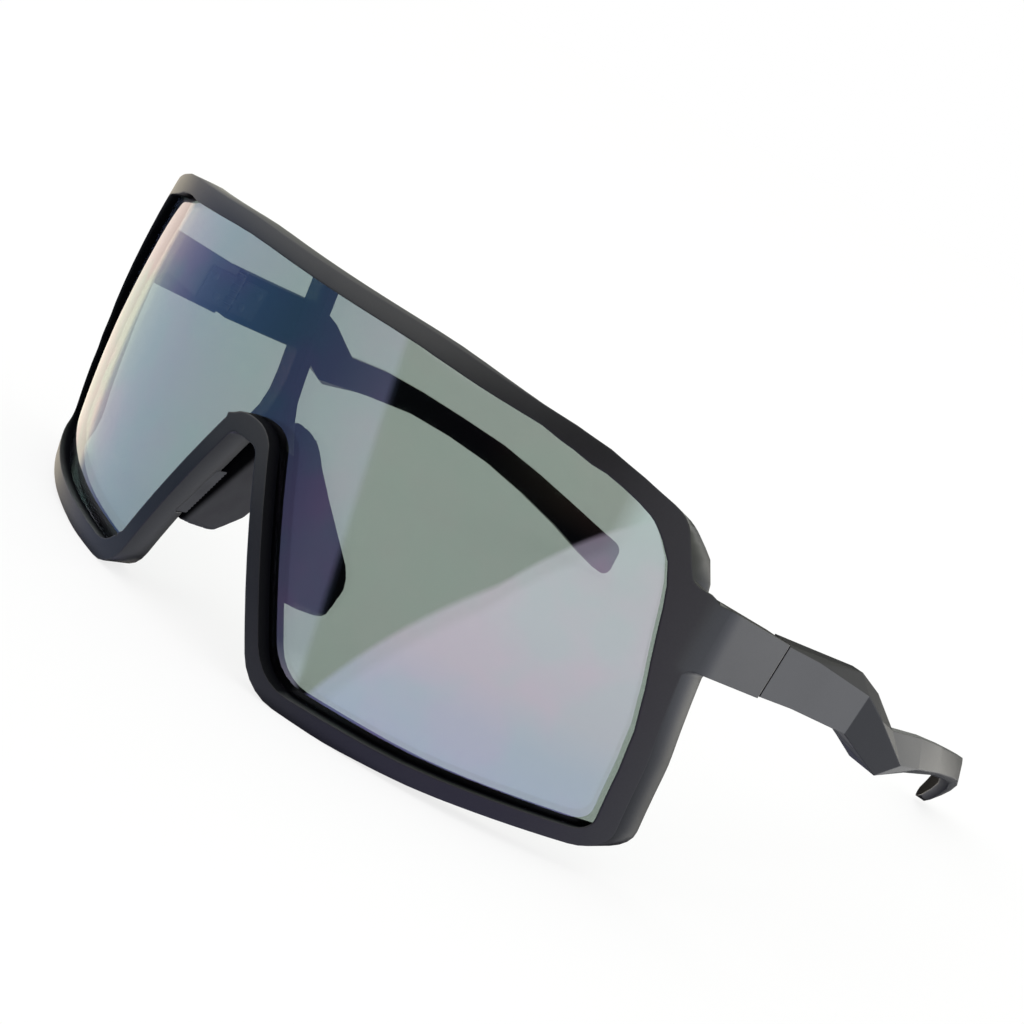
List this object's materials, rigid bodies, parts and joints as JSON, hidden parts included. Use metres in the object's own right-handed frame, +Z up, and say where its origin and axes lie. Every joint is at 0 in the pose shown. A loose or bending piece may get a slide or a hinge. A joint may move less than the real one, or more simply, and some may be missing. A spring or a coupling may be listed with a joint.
{
  "type": "wraparound sunglasses",
  "caption": "Wraparound shield sunglasses: full-rim moulded front, wide curved lens, clip-in nose pads and folding cranked temples on screw hinges.",
  "frame": {"origin": "centre of the whole object's footprint with the temples open, on the surface that it stands on", "axes": "+Z up, -Y the way the wearer looks, +X to the right of someone who faces the front (the wearer's left)"},
  "size_m": [0.1452, 0.1712, 0.0606],
  "materials": {
    "frame_nylon": "matte moulded nylon, near black",
    "temple_nylon": "matte moulded nylon, near black",
    "lens_smoke": "polished polycarbonate, grey-green smoke with a faint coating",
    "pad_rubber": "soft matte rubber",
    "carrier_plastic": "moulded plastic, satin",
    "hinge_steel": "stamped steel, blackened, satin",
    "screw_steel": "turned stainless steel"
  },
  "bodies": {
    "front": {"front_frame": "frame_nylon", "shield_lens": "lens_smoke", "nose_pad_right": "pad_rubber", "nose_pad_left": "pad_rubber", "pad_carrier_right": "carrier_plastic", "pad_carrier_left": "carrier_plastic", "front_leaf_right": "hinge_steel", "front_leaf_left": "hinge_steel", "hinge_screw_right": "screw_steel", "hinge_screw_left": "screw_steel", "front_rivets_right": "screw_steel", "front_rivets_left": "screw_steel"},
    "right_side": {"temple_right": "temple_nylon", "temple_leaf_right": "hinge_steel", "temple_rivets_right": "screw_steel"},
    "left_side": {"temple_left": "temple_nylon", "temple_leaf_left": "hinge_steel", "temple_rivets_left": "screw_steel"}
  },
  "joints": [
    {"name": "temple_right_fold", "type": "hinge", "parent": "front", "child": "right_side", "pos_m": [0.066, -0.03576, 0.0362], "axis": [0, 0.1392, 0.9903], "range_deg": [0, 90]},
    {"name": "temple_left_fold", "type": "hinge", "parent": "front", "child": "left_side", "pos_m": [-0.066, -0.03576, 0.0362], "axis": [0, -0.1392, -0.9903], "range_deg": [0, 80]}
  ]
}
